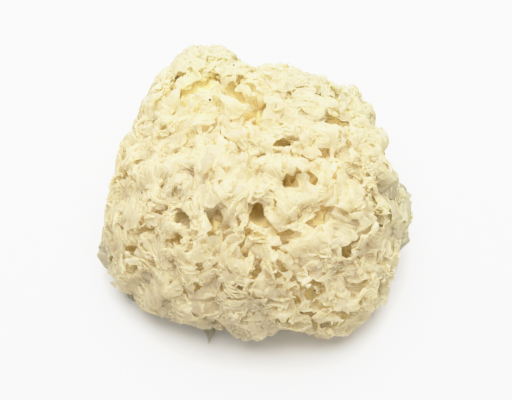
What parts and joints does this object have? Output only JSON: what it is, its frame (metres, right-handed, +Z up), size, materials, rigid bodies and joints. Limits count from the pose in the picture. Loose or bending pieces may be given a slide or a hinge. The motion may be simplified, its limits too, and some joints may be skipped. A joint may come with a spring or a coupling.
{
  "type": "dried snow fungus",
  "caption": "Domed clump of thin, crumpled cream fronds grown together from one flat cut foot, which it rests on.",
  "frame": {"origin": "middle of the flat cut foot, on the surface that the clump rests on", "axes": "+Z up out of the surface, +Y away from the viewer of the picture, +X to the viewer's right"},
  "size_m": [0.1328, 0.1241, 0.0643],
  "materials": {
    "dried_tissue": "dry, matt to faintly waxy, cream with golden folds"
  },
  "bodies": {
    "root": {"snow_fungus": "dried_tissue"}
  },
  "joints": []
}
